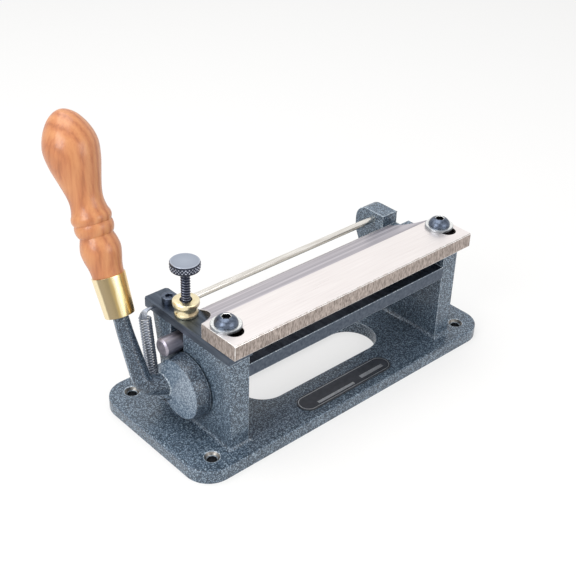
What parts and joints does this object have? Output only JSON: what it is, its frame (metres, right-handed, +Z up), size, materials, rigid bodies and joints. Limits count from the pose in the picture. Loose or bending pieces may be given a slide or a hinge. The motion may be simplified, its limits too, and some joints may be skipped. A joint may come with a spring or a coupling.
{
  "type": "leather skiving machine",
  "caption": "Bench machine that splits and skives leather: a lever lifts a roller towards a wide fixed blade, and a thumb screw sets how thin it cuts.",
  "frame": {"origin": "centre of the four bench bolt holes, on the underside of the base", "axes": "+X along the blade from the lever's side to the far side, +Y to the rear where the leather goes in, +Z up"},
  "size_m": [0.2805, 0.1545, 0.2061],
  "materials": {
    "hammered_paint": "hammered gunmetal enamel on cast iron",
    "lever_paint": "hammered gunmetal enamel on cast iron",
    "blackened_steel": "smooth blackened steel",
    "black_oxide": "black oxide on steel",
    "zinc_plate": "bright zinc plate",
    "drill_rod": "polished drill rod",
    "plate_enamel": "black enamel, bare",
    "bearing_bronze": "sintered bronze",
    "spring_wire": "drawn spring wire",
    "brass": "turned brass",
    "turned_wood": "stained and lacquered hardwood",
    "roller_steel": "ground steel",
    "ground_steel": "surface ground steel"
  },
  "bodies": {
    "frame": {"frame_casting": "hammered_paint", "stop_bar": "blackened_steel", "stop_bar_screw": "black_oxide", "blade_screws": "black_oxide", "blade_washers": "zinc_plate", "guide_rod": "drill_rod", "name_plate": "plate_enamel", "lever_shaft_bushes": "bearing_bronze", "return_spring": "spring_wire"},
    "lever": {"lever": "lever_paint", "lever_shaft": "drill_rod", "right_cam": "lever_paint", "cam_set_screws": "black_oxide", "cam_washers": "zinc_plate", "ferrule": "brass", "wood_handle": "turned_wood"},
    "roller_shaft": {"roller_shaft": "drill_rod", "retaining_rings": "black_oxide"},
    "roller": {"roller": "roller_steel", "roller_bushes": "bearing_bronze"},
    "blade": {"splitting_blade": "ground_steel"},
    "stop_screw": {"stop_screw": "black_oxide"},
    "stop_screw_head": {"stop_screw_head": "black_oxide"},
    "lock_nut": {"lock_nut": "brass"}
  },
  "joints": [
    {"name": "lever_swing", "type": "hinge", "parent": "frame", "child": "lever", "pos_m": [0, -0.014, 0.041], "axis": [1, 0, 0], "range_deg": [-22, 0], "stiffness_Nm_per_rad": 1.6, "springref_deg": 14.32, "deforming": ["return_spring"]},
    {"name": "roller_lift", "type": "slide", "parent": "frame", "child": "roller_shaft", "axis": [0, 0, 1], "range_m": [-0.00312, 0]},
    {"name": "roller_spin", "type": "hinge", "parent": "roller_shaft", "child": "roller", "pos_m": [0, 0.0074, 0.06531], "axis": [1, 0, 0], "continuous": true},
    {"name": "blade_setting", "type": "slide", "parent": "frame", "child": "blade", "axis": [0, 1, 0], "range_m": [-0.0018, 0.008]},
    {"name": "stop_screw_travel", "type": "slide", "parent": "frame", "child": "stop_screw", "axis": [0, 0, 1], "range_m": [0, 0.01]},
    {"name": "stop_screw_turn", "type": "hinge", "parent": "stop_screw", "child": "stop_screw_head", "pos_m": [-0.09688, 0.0074, 0.1194], "axis": [0, 0, 1], "range_deg": [0, 2833.9]},
    {"name": "lock_nut_turn", "type": "hinge", "parent": "frame", "child": "lock_nut", "pos_m": [-0.09688, 0.0074, 0.0884], "axis": [0, 0, 1], "continuous": true}
  ],
  "couplings": [
    {"joint": "roller_lift", "follows": "lever_swing", "m_per_rad": 0.0081},
    {"joint": "stop_screw_travel", "follows": "stop_screw_turn", "m_per_rad": 0.00020213}
  ]
}
